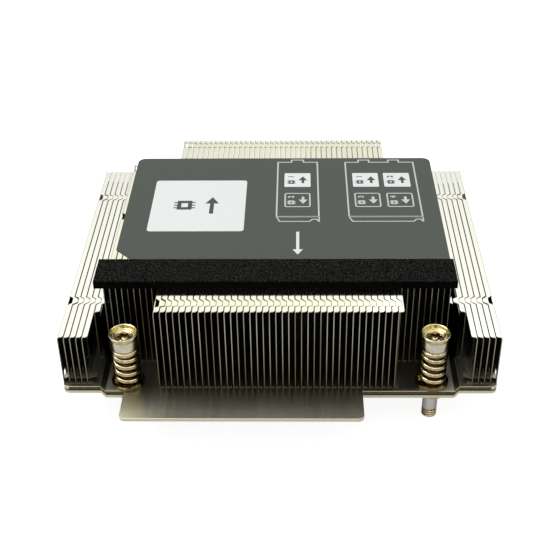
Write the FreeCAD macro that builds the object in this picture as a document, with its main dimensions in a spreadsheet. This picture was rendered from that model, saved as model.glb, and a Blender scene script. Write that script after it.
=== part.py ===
import FreeCAD, Part
import os
import re
import Sketcher

# Passive server CPU heatsink: folded fins that lock into each other, soldered on a pair of
# base sheets, with a contact block below and four captive spring screws at the corners.
# Origin: centre of the contact face, which is also the centre of the screw pattern.
# +X runs across the fins, +Y along them to the rear, +Z up. Millimetres.

doc = FreeCAD.newDocument("passive_heatsink")

# Driving dimensions
SIZES = [
    # contact block and base sheets
    ("contact_height", 4.0, "contact face to the underside of the lower sheet"),
    ("contact_width", 52.0, "contact block across the fins"),
    ("contact_depth", 48.0, "contact block along the fins"),
    ("contact_corner", 2.0, "corner radius of the contact block"),
    ("base_sheet", 1.0, "thickness of each base sheet"),
    ("seam", 0.3, "solder seam between the two base sheets"),
    ("base_margin", 0.15, "base sheets past the outermost fins"),
    ("base_front", 44.0, "screw pattern centre to the front edge"),
    ("base_rear", 45.5, "screw pattern centre to the rear edge"),
    ("base_corner", 1.6, "corner radius of the base sheets"),
    ("joggle_rise", 1.56, "height that the side portions are raised"),
    ("joggle_run", 1.2, "width of the slope up to the side portions"),
    ("tongue_left", 40.8, "centre to the tongue's left edge"),
    ("tongue_right", 21.7, "centre to the tongue's right edge"),
    ("tongue_reach", 10.6, "tongue past the front edge"),
    ("tab_reach", 6.0, "rear tab past the rear edge"),
    # fins
    ("fin_sheet", 0.2, "thickness of the fin sheet"),
    ("fin_gap", 0.12, "flange end to the next fin"),
    ("fin_corner", 0.6, "cut at the top corners of a fin"),
    ("foot_width", 1.35, "width of a fin's bottom flange"),
    ("side_pitch", 1.5625, "pitch of the side and bay fins"),
    ("core_pitch", 1.616, "pitch of the centre fins"),
    ("low_height", 14.9, "height of the side fins"),
    ("tall_height", 24.33, "height of the bay and centre fins"),
    ("outer_front", -42.76, "front edge of the outer fins"),
    ("outer_length", 87.0, "length of the outer fins"),
    ("step_front", -31.93, "front edge of the step fins"),
    ("bay_front", -31.7, "front edge of the bay fins"),
    ("bay_clear", 1.55, "rear washers to the rear edge of the bay fins"),
    ("core_front", -42.55, "front edge of the centre fins"),
    ("core_length", 92.8, "length of the centre fins"),
    ("outer_count", 5, "outer fins on each side"),
    ("step_count", 2, "step fins on each side"),
    ("bay_count", 9, "bay fins on each side"),
    ("core_count", 39, "centre fins"),
    # rows of locks between neighbouring flanges
    ("side_lock_front", 5.53, "front edge of the step fins to the front row on the side fins"),
    ("side_lock_rear", 16.79, "rear row to the rear edge of the side fins"),
    ("bay_lock_rear", 2.9, "rear row to the rear edge of the bay fins"),
    ("bay_lock_span", 27.8, "middle row to rear row on the bay fins"),
    ("core_lock_front", 4.35, "front edge of the centre fins to their front row"),
    ("core_lock_rear", 3.65, "rear row to the rear edge of the centre fins"),
    ("lock_root", 2.9, "width of a lock tab at its root"),
    ("lock_tip", 1.8, "width of a lock tab at its tip"),
    ("lock_reach", 1.1, "tab past the face of the next fin"),
    ("lock_gap", 0.1, "clearance round a lock tab"),
    # one row of tabs bent out of the webs, low on the outer fins
    ("low_lock_front", 2.11, "front edge of the outer fins to their bent-out tabs"),
    ("low_lock_rise", 0.8, "underside of the outer fins to those tabs"),
    ("low_root", 2.5, "width of a bent-out tab at its root"),
    ("low_tip", 1.3, "width of a bent-out tab at its tip"),
    ("low_reach", 2.2, "length of a bent-out tab"),
    # foam strip and label
    ("foam_left", 47.9, "centre to the foam's left end"),
    ("foam_right", 45.8, "centre to the foam's right end"),
    ("foam_front", -32.1, "front edge of the foam"),
    ("foam_width", 10.5, "width of the foam along the fins"),
    ("foam_height", 2.3, "thickness of the foam"),
    ("label_left", 44.5, "centre to the label's left edge"),
    ("label_right", 45.45, "centre to the label's right edge"),
    ("label_rear", 37.35, "rear edge of the label"),
    ("label_height", 0.25, "thickness of the label"),
    ("label_corner", 2.3, "radius of the label's rear corners"),
    ("label_cut", 7.6, "chamfer at the label's front left corner"),
    ("label_gap", 0.1, "foam to label"),
    # captive screws
    ("screw_spacing", 80.0, "screw pattern, both ways"),
    ("screw_hole", 5.0, "holes in the base sheets"),
    ("shank", 4.0, "diameter of the screw shank and its thread"),
    ("thread_tip", 0.5, "chamfer at the tip"),
    ("screw_drop", 5.1, "contact face to the screw tips"),
    ("rim", 7.7, "diameter of the head's rim"),
    ("rim_height", 1.1, "height of the head's rim"),
    ("collar", 7.0, "diameter of the head's collar"),
    ("collar_height", 3.55, "height of the head's collar"),
    ("recess", 6.3, "diameter of the recess in the head"),
    ("recess_depth", 1.3, "depth of the recess in the head"),
    ("washer_outer", 8.3, "outer diameter of the washer"),
    ("washer_bore", 4.4, "bore of the washer"),
    ("washer_height", 0.95, "thickness of the washer"),
    ("spring_room", 10.65, "washer to the screw head, at rest"),
    ("spring_outer", 7.3, "outer diameter of the spring"),
    ("spring_wire", 1.2, "diameter of the spring wire"),
    ("spring_turns", 5.0, "turns of the spring"),
    ("closed_turns", 0.4, "level part of a turn at each end of the spring"),
    ("spring_start", 190.0, "angle where the wire's lower end lies, in degrees"),
    ("spring_facets", 12, "straight stretches in a turn of the spring"),
    ("spring_gap", 0.1, "spring to the screw head"),
    ("ring_outer", 7.5, "outer diameter of the retaining ring"),
    ("ring_height", 0.7, "thickness of the retaining ring"),
    ("ring_play", 0.1, "ring to the lower sheet and to its groove"),
    ("ring_mouth", 2.4, "mouth of the retaining ring"),
    ("groove", 3.2, "diameter of the groove that holds the ring"),
]

# Sizes that follow from the ones above
DERIVED = {
    "base_top": "(contact_height + 2 * base_sheet + seam)",
    "lower_top": "(contact_height + base_sheet)",
    "side_top": "(base_top + joggle_rise)",
    "tall_top": "(base_top + tall_height)",
    "core_half": "(core_count * core_pitch / 2)",
    "tall_half": "(core_half + bay_count * side_pitch)",
    "full_half": "(tall_half + (outer_count + step_count) * side_pitch)",
    "base_half": "(full_half + base_margin)",
    "joggle_in": "(tall_half + fin_gap / 2)",
    "joggle_out": "(joggle_in + joggle_run)",
    "step_length": "(outer_front + outer_length - step_front)",
    "bay_length": "(screw_spacing / 2 - washer_outer / 2 - bay_clear - bay_front)",
    "outer_lock": "(step_front + side_lock_front - outer_front)",
    "side_lock_span": "(step_length - side_lock_front - side_lock_rear)",
    "bay_lock_front": "(bay_length - bay_lock_rear - bay_lock_span)",
    "core_lock_span": "(core_length - core_lock_front - core_lock_rear)",
    "tab_half": "(core_half + base_margin)",
    "foam_rear": "(foam_front + foam_width)",
    "washer_top": "(base_top + washer_height)",
    "head_under": "(washer_top + spring_room)",
    "collar_top": "(head_under + collar_height)",
    "head_top": "(collar_top + rim_height)",
    "ring_top": "(contact_height - ring_play)",
    "ring_under": "(ring_top - ring_height)",
    "wire_half": "(spring_wire / 2)",
}

sheet = doc.addObject("Spreadsheet::Sheet", "Sizes")
for row, (alias, number, words) in enumerate(SIZES, start=1):
    sheet.set(f"A{row}", words)
    sheet.set(f"B{row}", str(number))
    sheet.setAlias(f"B{row}", alias)
doc.recompute()
ALIASES = {alias for alias, number, words in SIZES}


def bound(text):
    """An expression on the sheet's cells, from words for sizes."""

    def swap(match):
        word = match.group()
        if word in DERIVED:
            return bound(DERIVED[word])
        return f"Sizes.{word}" if word in ALIASES else word

    return re.sub(r"[a-z_]+", swap, text)


def value(text):
    return float(sheet.evalExpression(bound(text)))


def bind(thing, name, text):
    thing.setExpression(name, bound(text))


def place(thing, x="0", y="0", z="0"):
    for axis, text in zip("xyz", (x, y, z)):
        bind(thing, f"Placement.Base.{axis}", text)


def new_body(label):
    body = doc.addObject("PartDesign::Body", label)
    body.Label = label
    return body


def new_sketch(body, name, role, height="0"):
    sketch = body.newObject("Sketcher::SketchObject", f"{body.Name}_{name}")
    planes = [item for item in body.Origin.OriginFeatures if item.Role == role]
    sketch.AttachmentSupport = [(planes[0], "")]
    sketch.MapMode = "FlatFace"
    bind(sketch, "AttachmentOffset.Base.z", height)
    return sketch


def pin_point(sketch, line, end, corner):
    """Hold one end of a line at a corner given from the sketch's origin."""
    for kind, text in zip(("DistanceX", "DistanceY"), corner):
        index = sketch.addConstraint(
            Sketcher.Constraint(kind, -1, 1, line, end, value(text))
        )
        bind(sketch, f"Constraints[{index}]", text)


def draw_loop(sketch, corners):
    """A closed outline of straight lines, with every corner held by its sizes."""
    spots = [FreeCAD.Vector(value(x), value(y), 0) for x, y in corners]
    count = len(spots)
    lines = []
    for here in range(count):
        segment = Part.LineSegment(spots[here], spots[(here + 1) % count])
        lines.append(sketch.addGeometry(segment, False))
    for here in range(count):
        following = lines[(here + 1) % count]
        sketch.addConstraint(Sketcher.Constraint("Coincident", lines[here], 2, following, 1))
        pin_point(sketch, lines[here], 1, corners[here])


def draw_circle(sketch, x, y, radius):
    spot = FreeCAD.Vector(value(x), value(y), 0)
    circle = sketch.addGeometry(
        Part.Circle(spot, FreeCAD.Vector(0, 0, 1), value(radius)), False
    )
    pin_point(sketch, circle, 3, (x, y))
    index = sketch.addConstraint(Sketcher.Constraint("Radius", circle, value(radius)))
    bind(sketch, f"Constraints[{index}]", radius)


def box_corners(left, front, right, rear):
    return [(left, front), (right, front), (right, rear), (left, rear)]


def add_pad(body, sketch, length, backwards=False):
    pad = body.newObject("PartDesign::Pad", sketch.Name + "_pad")
    pad.Profile = sketch
    pad.Reversed = backwards
    bind(pad, "Length", length)
    sketch.Visibility = False
    return pad


def add_pocket(body, sketch, depth=None):
    """Cuts downwards from the sketch, to a depth or right through."""
    pocket = body.newObject("PartDesign::Pocket", sketch.Name + "_pocket")
    pocket.Profile = sketch
    if depth is None:
        pocket.Type = "ThroughAll"
    else:
        bind(pocket, "Length", depth)
    sketch.Visibility = False
    return pocket


def upright_edges(shape, corners):
    """Names of the vertical edges that stand at the given corners."""
    names = []
    for number, edge in enumerate(shape.Edges, start=1):
        low, high = edge.Vertexes[0].Point, edge.Vertexes[-1].Point
        upright = abs(low.x - high.x) < 1e-6 and abs(low.y - high.y) < 1e-6
        for x, y in corners:
            if upright and abs(low.x - value(x)) < 1e-4 and abs(low.y - value(y)) < 1e-4:
                names.append(f"Edge{number}")
    return names


def round_corners(body, base, corners, radius):
    doc.recompute()
    fillet = body.newObject("PartDesign::Fillet", f"{body.Name}_corners")
    fillet.Base = (base, upright_edges(base.Shape, corners))
    bind(fillet, "Radius", radius)
    return fillet


def turned(label, profile):
    """A turned piece: its half section, as (radius, height) corners, spun round +Z."""
    body = new_body(label)
    sketch = new_sketch(body, "section", "XZ_Plane")
    draw_loop(sketch, profile)
    spin = body.newObject("PartDesign::Revolution", f"{label}_spin")
    spin.Profile = sketch
    spin.ReferenceAxis = (sketch, ["V_Axis"])
    spin.Angle = 360
    sketch.Visibility = False
    return body


# Base sheets


def joggled_section(sketch, low):
    """A sheet whose side portions are raised, seen from the front."""
    high = f"{low} + joggle_rise"
    under = [
        ("-base_half", high), ("-joggle_out", high), ("-joggle_in", low),
        ("joggle_in", low), ("joggle_out", high), ("base_half", high),
    ]
    over = [(x, f"{z} + base_sheet") for x, z in reversed(under)]
    draw_loop(sketch, under + over)


def base_holes(body, top):
    sketch = new_sketch(body, "holes", "XY_Plane", f"{top} + joggle_rise")
    for x in ("-", ""):
        for y in ("-", ""):
            draw_circle(sketch, f"{x}screw_spacing / 2", f"{y}screw_spacing / 2", "screw_hole / 2")
    return add_pocket(body, sketch)


def lower_base_sheet():
    body = new_body("lower_base_sheet")
    section = new_sketch(body, "section", "XZ_Plane", "base_front")
    joggled_section(section, "contact_height")
    add_pad(body, section, "base_front + base_rear", backwards=True)
    holes = base_holes(body, "lower_top")
    corners = [(x, y) for x in ("-base_half", "base_half") for y in ("-base_front", "base_rear")]
    round_corners(body, holes, corners, "base_corner")
    return body


def upper_base_sheet():
    """As the lower one, with a tongue in front and a tab behind, trimmed to its outline."""
    body = new_body("upper_base_sheet")
    section = new_sketch(body, "section", "XZ_Plane", "base_front + tongue_reach")
    joggled_section(section, "lower_top + seam")
    reach = "base_front + tongue_reach + base_rear + tab_reach"
    add_pad(body, section, reach, backwards=True)
    front, rear = "-base_front", "base_rear"
    tip, tail = "-base_front - tongue_reach", "base_rear + tab_reach"
    spare = "(base_half + base_margin)"
    trim = new_sketch(body, "trim", "XY_Plane", "side_top + base_sheet")
    waste = box_corners(f"-{spare}", f"{tip} - base_margin", spare, f"{tail} + base_margin")
    draw_loop(trim, waste)
    draw_loop(trim, [
        ("-base_half", front), ("-tongue_left", front), ("-tongue_left", tip),
        ("tongue_right", tip), ("tongue_right", front), ("base_half", front),
        ("base_half", rear), ("tab_half", rear), ("tab_half", tail),
        ("-tab_half", tail), ("-tab_half", rear), ("-base_half", rear),
    ])
    add_pocket(body, trim)
    holes = base_holes(body, "base_top")
    corners = [
        ("-base_half", front), ("base_half", front), ("-base_half", rear), ("base_half", rear),
        ("-tongue_left", tip), ("tongue_right", tip), ("-tab_half", tail), ("tab_half", tail),
    ]
    round_corners(body, holes, corners, "base_corner")
    return body


def contact_block():
    body = new_body("contact_block")
    sketch = new_sketch(body, "outline", "XY_Plane")
    half_x, half_y = "contact_width / 2", "contact_depth / 2"
    draw_loop(sketch, box_corners(f"-{half_x}", f"-{half_y}", half_x, half_y))
    pad = add_pad(body, sketch, "contact_height")
    corners = [(x, y) for x in (f"-{half_x}", half_x) for y in (f"-{half_y}", half_y)]
    round_corners(body, pad, corners, "contact_corner")
    return body


# Fins


def lock_row(body, pitch, flange, height, row, span, tabs):
    """Tabs that hook into the next fin and notches that take the last fin's tabs, in two rows."""
    inside = "fin_gap"
    tip = f"{pitch} + lock_reach"
    shapes = []
    if tabs:
        tab = new_sketch(body, "tab", "XY_Plane", height)
        draw_loop(tab, [
            (f"{flange} - {inside}", f"{row} - lock_root / 2"), (tip, f"{row} - lock_tip / 2"),
            (tip, f"{row} + lock_tip / 2"), (f"{flange} - {inside}", f"{row} + lock_root / 2"),
        ])
        shapes.append(add_pad(body, tab, "fin_sheet", backwards=True))
    notch = new_sketch(body, "notch", "XY_Plane", height)
    mouth = "(lock_root / 2 + lock_gap)"
    floor = "(lock_tip / 2 + lock_gap)"
    depth = "lock_reach + lock_gap"
    draw_loop(notch, [
        (f"-{inside}", f"{row} - {mouth}"), (depth, f"{row} - {floor}"),
        (depth, f"{row} + {floor}"), (f"-{inside}", f"{row} + {mouth}"),
    ])
    shapes.append(add_pocket(body, notch, "fin_sheet"))
    rows = body.newObject("PartDesign::LinearPattern", f"{body.Name}_rows")
    rows.Originals = shapes
    rows.Direction = (notch, ["V_Axis"])
    bind(rows, "Length", span)
    rows.Occurrences = 2
    body.Tip = rows


def low_lock(body, tab):
    """The opening that a tab leaves low in the web, and the tab itself where it shows."""
    middle = "low_lock_front"
    level = "low_lock_rise + fin_sheet"
    slot = new_sketch(body, "slot", "YZ_Plane")
    draw_loop(slot, [
        (f"{middle} - low_root / 2", level), (f"{middle} + low_root / 2", level),
        (f"{middle} + low_tip / 2", f"{level} + low_reach"),
        (f"{middle} - low_tip / 2", f"{level} + low_reach"),
    ])
    pocket = body.newObject("PartDesign::Pocket", f"{body.Name}_slot_pocket")
    pocket.Profile = slot
    pocket.Type = "ThroughAll"
    pocket.Reversed = True
    slot.Visibility = False
    if tab:
        sketch = new_sketch(body, "low_tab", "XY_Plane", "low_lock_rise")
        draw_loop(sketch, [
            ("fin_sheet / 2", f"{middle} - low_root / 2"),
            ("fin_sheet + low_reach", f"{middle} - low_tip / 2"),
            ("fin_sheet + low_reach", f"{middle} + low_tip / 2"),
            ("fin_sheet / 2", f"{middle} + low_root / 2"),
        ])
        add_pad(body, sketch, "fin_sheet")


def fin(label, length, height, pitch, locks=None, tabs=True, low_tab=None):
    """One folded fin: a web with a flange at its top, a foot at its bottom, and its locks."""
    flange = f"{pitch} - fin_gap"
    body = new_body(label)
    web = new_sketch(body, "web", "YZ_Plane")
    draw_loop(web, [
        ("0", "0"), (length, "0"), (length, f"{height} - fin_corner"),
        (f"{length} - fin_corner", height), ("fin_corner", height),
        ("0", f"{height} - fin_corner"),
    ])
    add_pad(body, web, "fin_sheet")
    top = new_sketch(body, "flange", "XY_Plane", height)
    draw_loop(top, box_corners("0", "fin_corner", flange, f"{length} - fin_corner"))
    add_pad(body, top, "fin_sheet", backwards=True)
    foot = new_sketch(body, "foot", "XY_Plane")
    draw_loop(foot, box_corners("0", "0", "foot_width", length))
    add_pad(body, foot, "fin_sheet")
    if low_tab is not None:
        low_lock(body, low_tab)
    if locks:
        row, span = locks
        lock_row(body, pitch, flange, height, row, span, tabs)
    return body


def mirrored(body):
    """The same fin for the other side, with its flanges the other way."""
    other = doc.addObject("Part::Mirroring", f"{body.Name}_mirrored")
    other.Source = body
    other.Normal = FreeCAD.Vector(1, 0, 0)
    return other


def copy_of(source, label, x, y, z, turn=0):
    copy = doc.addObject("Part::Compound", label)
    copy.Label = label
    copy.Links = [source]
    copy.Placement.Rotation = FreeCAD.Rotation(FreeCAD.Vector(0, 0, 1), turn)
    place(copy, x, y, z)
    return copy


def group(label, copies):
    whole = doc.addObject("Part::Compound", label)
    whole.Label = label
    whole.Links = copies
    return whole


def side_stacks():
    """Five outer and two step fins on each side; the last one has no fin to hook into."""
    outer_rows = ("outer_lock", "side_lock_span")
    step_rows = ("side_lock_front", "side_lock_span")
    outer_sizes = ("outer_length", "low_height", "side_pitch", outer_rows)
    outer = fin("outer_fin", *outer_sizes, low_tab=False)
    last_outer = fin("last_outer_fin", *outer_sizes, low_tab=True)
    step = fin("step_fin", "step_length", "low_height", "side_pitch", step_rows)
    last = fin("last_step_fin", "step_length", "low_height", "side_pitch", step_rows, tabs=False)
    outer_count, step_count = int(value("outer_count")), int(value("step_count"))
    total = outer_count + step_count
    nodes = []
    for side, sign in (("left", "-"), ("right", "")):
        shapes = [outer, last_outer, step, last]
        if side == "right":
            shapes = [mirrored(shape) for shape in shapes]
        for index in range(total):
            x = f"{sign}(full_half - {index} * side_pitch)"
            if index < outer_count:
                kind, number, y = "outer", index + 1, "outer_front"
                shape = shapes[1] if index == outer_count - 1 else shapes[0]
            else:
                kind, number, y = "step", index - outer_count + 1, "step_front"
                shape = shapes[3] if index == total - 1 else shapes[2]
            nodes.append(copy_of(shape, f"{side}_{kind}_fin_{number}", x, y, "side_top"))
    return nodes


def bay_fins():
    """The shorter tall fins that flank the centre; only the first one's notches stand open."""
    rows = ("bay_lock_front", "bay_lock_span")
    first = fin("first_bay_fin", "bay_length", "tall_height", "side_pitch", rows, tabs=False)
    plain = fin("bay_fin", "bay_length", "tall_height", "side_pitch")
    nodes = []
    for index in range(int(value("bay_count"))):
        left = f"-tall_half + {index} * side_pitch"
        right = f"core_half + {index} * side_pitch"
        shape = first if index == 0 else plain
        nodes.append(copy_of(shape, f"left_bay_fin_{index + 1}", left, "bay_front", "base_top"))
        nodes.append(copy_of(plain, f"right_bay_fin_{index + 1}", right, "bay_front", "base_top"))
    return nodes


def centre_fins():
    """The long centre fins, one node of separate solids."""
    rows = ("core_lock_front", "core_lock_span")
    inner = fin("centre_fin", "core_length", "tall_height", "core_pitch", rows)
    last = fin("last_centre_fin", "core_length", "tall_height", "core_pitch", rows, tabs=False)
    count = int(value("core_count"))
    copies = []
    for index in range(count):
        x = f"-core_half + {index} * core_pitch"
        shape = last if index == count - 1 else inner
        copies.append(copy_of(shape, f"centre_fin_{index + 1}", x, "core_front", "base_top"))
    return group("centre_fins", copies)


# Foam strip and label


def foam_strip():
    foam = doc.addObject("Part::Box", "foam_strip")
    foam.Label = "foam_strip"
    bind(foam, "Length", "foam_left + foam_right")
    bind(foam, "Width", "foam_width")
    bind(foam, "Height", "foam_height")
    place(foam, "-foam_left", "foam_front", "tall_top")
    return foam


def label_sheet():
    body = new_body("top_label")
    sketch = new_sketch(body, "outline", "XY_Plane", "tall_top")
    front = "foam_rear + label_gap"
    draw_loop(sketch, [
        ("-label_left + label_cut", front), ("label_right", front), ("label_right", "label_rear"),
        ("-label_left", "label_rear"), ("-label_left", f"{front} + label_cut"),
    ])
    pad = add_pad(body, sketch, "label_height")
    corners = [("-label_left", "label_rear"), ("label_right", "label_rear")]
    round_corners(body, pad, corners, "label_corner")
    return body


# Fasteners


def captive_screw():
    """One turned piece: cup head, collar, shank with a groove for its ring, threaded end."""
    shank = "shank / 2"
    return turned("captive_screw", [
        ("0", "-screw_drop"), (f"{shank} - thread_tip", "-screw_drop"),
        (shank, "-screw_drop + thread_tip"), (shank, "ring_under - ring_play"),
        ("groove / 2", "ring_under - ring_play"), ("groove / 2", "ring_top + ring_play"),
        (shank, "ring_top + ring_play"), (shank, "head_under"), ("collar / 2", "head_under"),
        ("collar / 2", "collar_top"), ("rim / 2", "collar_top"), ("rim / 2", "head_top"),
        ("recess / 2", "head_top"), ("recess / 2", "head_top - recess_depth"),
        ("0", "head_top - recess_depth"),
    ])


def washer():
    return turned("washer", box_corners(
        "washer_bore / 2", "base_top", "washer_outer / 2", "washer_top"
    ))


def retaining_ring():
    """A flat clip with a mouth, snapped into the screw's groove."""
    disc = doc.addObject("Part::Cylinder", "ring_disc")
    bind(disc, "Radius", "ring_outer / 2")
    bore = doc.addObject("Part::Cylinder", "ring_bore")
    bind(bore, "Radius", "groove / 2 + ring_play")
    mouth = doc.addObject("Part::Box", "ring_mouth")
    bind(mouth, "Length", "ring_mouth")
    bind(mouth, "Width", "ring_outer")
    place(mouth, "-ring_mouth / 2", "0", "ring_under")
    for piece in (disc, bore, mouth):
        bind(piece, "Height", "ring_height")
    for piece in (disc, bore):
        place(piece, z="ring_under")
    opening = doc.addObject("Part::Fuse", "ring_opening")
    opening.Base, opening.Tool = bore, mouth
    ring = doc.addObject("Part::Cut", "retaining_ring")
    ring.Base, ring.Tool = disc, opening
    return ring


def spring():
    """A left-handed helix of wire with closed ends, in short straight stretches."""
    coil_radius = value("(spring_outer - spring_wire) / 2")
    half = value("wire_half")
    start = value("washer_top + wire_half + spring_gap / 2")
    rise = value("spring_room - spring_wire - 1.5 * spring_gap")
    turns = value("spring_turns")
    closed = value("closed_turns")
    facets = value("spring_facets")
    sections = []
    for index in range(round(turns * facets) + 1):
        share = (index / facets - closed) / (turns - 2 * closed)
        angle = value("spring_start") - 360 * index / facets
        spot = FreeCAD.Placement(
            FreeCAD.Vector(0, 0, start + rise * min(max(share, 0), 1)),
            FreeCAD.Rotation(FreeCAD.Vector(0, 0, 1), angle),
        )
        corners = [
            spot.multVec(FreeCAD.Vector(coil_radius + out, 0, up))
            for out, up in ((half, half), (-half, half), (-half, -half), (half, -half),
                            (half, half))
        ]
        sections.append(Part.makePolygon(corners))
    coil = doc.addObject("Part::Feature", "spring_coil")
    coil.Shape = Part.makeLoft(sections, True, True)
    return coil


def fasteners():
    """The four captive screws with their springs, washers and rings."""
    nodes = []
    kinds = {"screw": captive_screw(), "spring": spring(), "washer": washer(),
             "retaining_ring": retaining_ring()}
    for front_rear, y in (("front", "-"), ("rear", "")):
        for side, x in (("left", "-"), ("right", "")):
            place_name = f"{front_rear}_{side}"
            for kind, shape in kinds.items():
                spot = (f"{x}screw_spacing / 2", f"{y}screw_spacing / 2", "0")
                nodes.append(copy_of(shape, f"{place_name}_{kind}", *spot))
    return nodes


nodes = [lower_base_sheet(), upper_base_sheet(), contact_block(), foam_strip(), label_sheet()]
nodes += side_stacks() + bay_fins() + [centre_fins()] + fasteners()
doc.recompute()

for thing in doc.Objects:
    if "Invalid" in thing.State or "Error" in thing.State:
        raise RuntimeError(f"{thing.Label} failed: {thing.State}")
os.makedirs("parts", exist_ok=True)
for node in nodes:
    shape = node.Shape
    if shape.isNull() or not shape.isValid():
        raise RuntimeError(f"{node.Label} has no valid shape")
    shape.exportStep(f"parts/{node.Label}.step")
    print(node.Label, len(shape.Solids), round(shape.Volume, 1))
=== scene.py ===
# %% [markdown]
# # Dressing a passive processor heatsink
#
# A server's processor heatsink is a block of folded sheet fins on a flat base. It has no fan of
# its own: the server's fans blow along the fins. The solid model already says where everything
# is. This lesson loads it, builds each piece again with its folds, threads and print, gives each
# one a finish, and lights the result on a pale floor.

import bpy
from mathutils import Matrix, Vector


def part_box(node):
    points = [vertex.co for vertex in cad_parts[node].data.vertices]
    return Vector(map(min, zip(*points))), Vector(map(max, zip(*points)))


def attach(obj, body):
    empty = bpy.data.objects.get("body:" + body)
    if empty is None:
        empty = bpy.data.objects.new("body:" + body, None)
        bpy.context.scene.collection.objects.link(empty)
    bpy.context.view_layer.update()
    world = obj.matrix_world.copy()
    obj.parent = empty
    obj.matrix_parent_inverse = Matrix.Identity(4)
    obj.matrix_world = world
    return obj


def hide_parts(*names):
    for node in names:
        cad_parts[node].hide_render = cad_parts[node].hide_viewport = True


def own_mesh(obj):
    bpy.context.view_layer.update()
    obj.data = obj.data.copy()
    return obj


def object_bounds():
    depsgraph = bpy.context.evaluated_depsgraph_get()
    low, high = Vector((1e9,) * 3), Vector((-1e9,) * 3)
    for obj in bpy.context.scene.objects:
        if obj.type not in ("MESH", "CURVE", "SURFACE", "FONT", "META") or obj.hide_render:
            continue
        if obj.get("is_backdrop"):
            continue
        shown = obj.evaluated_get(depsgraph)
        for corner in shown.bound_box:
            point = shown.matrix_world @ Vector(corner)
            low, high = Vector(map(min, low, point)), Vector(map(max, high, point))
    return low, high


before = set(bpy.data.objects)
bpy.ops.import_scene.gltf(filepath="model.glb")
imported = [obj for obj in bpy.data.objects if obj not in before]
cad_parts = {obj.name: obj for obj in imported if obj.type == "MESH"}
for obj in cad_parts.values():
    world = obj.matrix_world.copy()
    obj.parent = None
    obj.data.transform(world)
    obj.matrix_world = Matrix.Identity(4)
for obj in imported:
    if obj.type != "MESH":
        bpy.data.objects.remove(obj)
cad_low, cad_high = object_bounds()

# %% [markdown]
# ## Units and small helpers
#
# Blender works in metres, but a sheet metal part is easier to think about in millimetres. The
# shapes below are drawn in millimetres, and one helper turns them into metres as it makes the
# mesh object. Every finished piece sits at the origin, with its place in its mesh.

# %% Helpers that turn drawings into mesh objects
import math

import bmesh
import bpy
from mathutils import Matrix, Vector
from mathutils.geometry import delaunay_2d_cdt

MM = 0.001
SHARP_ANGLE = math.radians(32)


def box_mm(node):
    """Lowest and highest corner of a solid, in millimetres."""
    low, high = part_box(node)
    return low / MM, high / MM


def in_scene(name, data):
    """A new object in the scene."""
    made = bpy.data.objects.new(name, data)
    bpy.context.scene.collection.objects.link(made)
    return made


def mesh_object(name, drawing, smooth=True):
    """A mesh object in metres from a bmesh in millimetres, with its faces turned outwards."""
    bmesh.ops.recalc_face_normals(drawing, faces=drawing.faces)
    bmesh.ops.scale(drawing, vec=(MM, MM, MM), verts=drawing.verts)
    mesh = bpy.data.meshes.new(name)
    drawing.to_mesh(mesh)
    drawing.free()
    if smooth:
        mesh.shade_smooth()
        mesh.set_sharp_from_angle(angle=SHARP_ANGLE)
    return in_scene(name, mesh)


def bevel(piece, name, width, segments, angle):
    """Rounds a piece's sharp edges; the width is in millimetres and the angle in degrees."""
    ease = piece.modifiers.new(name, "BEVEL")
    ease.width, ease.segments = width * MM, segments
    ease.limit_method, ease.angle_limit = "ANGLE", math.radians(angle)


def as_seen(piece):
    """A new mesh of a piece with its modifiers applied."""
    seen = piece.evaluated_get(bpy.context.evaluated_depsgraph_get())
    return bpy.data.meshes.new_from_object(seen)


def settle(piece, body, slot, materials, *nodes):
    """Give a finished piece its materials, its body and the solids it stands for; the slot is not
    used.
    """
    for material in materials:
        if material.name not in piece.data.materials:
            piece.data.materials.append(material)
    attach(piece, body)
    if nodes:
        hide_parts(*nodes)
    faces = len(piece.data.polygons)
    print(f"{piece.name}: {faces} faces, rides on {body}, stands for {len(nodes)} solids")


# %% [markdown]
# ## Flat regions
#
# Fins, label and print are all flat shapes with holes before anything is folded or thickened.
# One helper fills such a region: it triangulates the outlines and keeps the triangles that an
# even-odd test finds inside. A second one gives a filled region its thickness, and a third one
# makes whole flat pieces with the two.


# %% Fill and thicken a flat region
def inside(x, y, loops):
    """Even-odd test of a point against closed outlines."""
    crossings = 0
    for loop in loops:
        for (x0, y0), (x1, y1) in zip(loop, loop[1:] + loop[:1]):
            if (y0 > y) != (y1 > y) and x < x0 + (y - y0) * (x1 - x0) / (y1 - y0):
                crossings += 1
    return crossings % 2 == 1


def fill(loops, creases=()):
    """Corners and triangles of the region inside the outlines, split along the creases."""
    points, edges = [], []
    for loop in loops:
        first = len(points)
        points += [Vector(corner) for corner in loop]
        edges += [(first + i, first + (i + 1) % len(loop)) for i in range(len(loop))]
    for start, end in creases:
        edges.append((len(points), len(points) + 1))
        points += [Vector(start), Vector(end)]
    corners, _, triangles, *_ = delaunay_2d_cdt(points, edges, [], 0, 1e-5)
    kept = []
    for triangle in triangles:
        middle = sum((corners[i] for i in triangle), Vector((0, 0))) / 3
        if inside(middle.x, middle.y, loops):
            kept.append(tuple(triangle))
    return corners, kept


def thicken(drawing, corners, triangles, place, thickness):
    """Adds a closed sheet: place(u, v) gives its middle surface and its outward direction."""
    used = sorted({i for triangle in triangles for i in triangle})
    outer, inner = {}, {}
    for i in used:
        middle, out = place(corners[i].x, corners[i].y)
        outer[i] = drawing.verts.new(middle + out * thickness / 2)
        inner[i] = drawing.verts.new(middle - out * thickness / 2)
    sides = set()
    for a, b, c in triangles:
        drawing.faces.new((outer[a], outer[b], outer[c]))
        drawing.faces.new((inner[c], inner[b], inner[a]))
        sides |= {(a, b), (b, c), (c, a)}
    for a, b in sorted(sides):
        if (b, a) not in sides:
            drawing.faces.new((outer[b], outer[a], inner[a], inner[b]))


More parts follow.
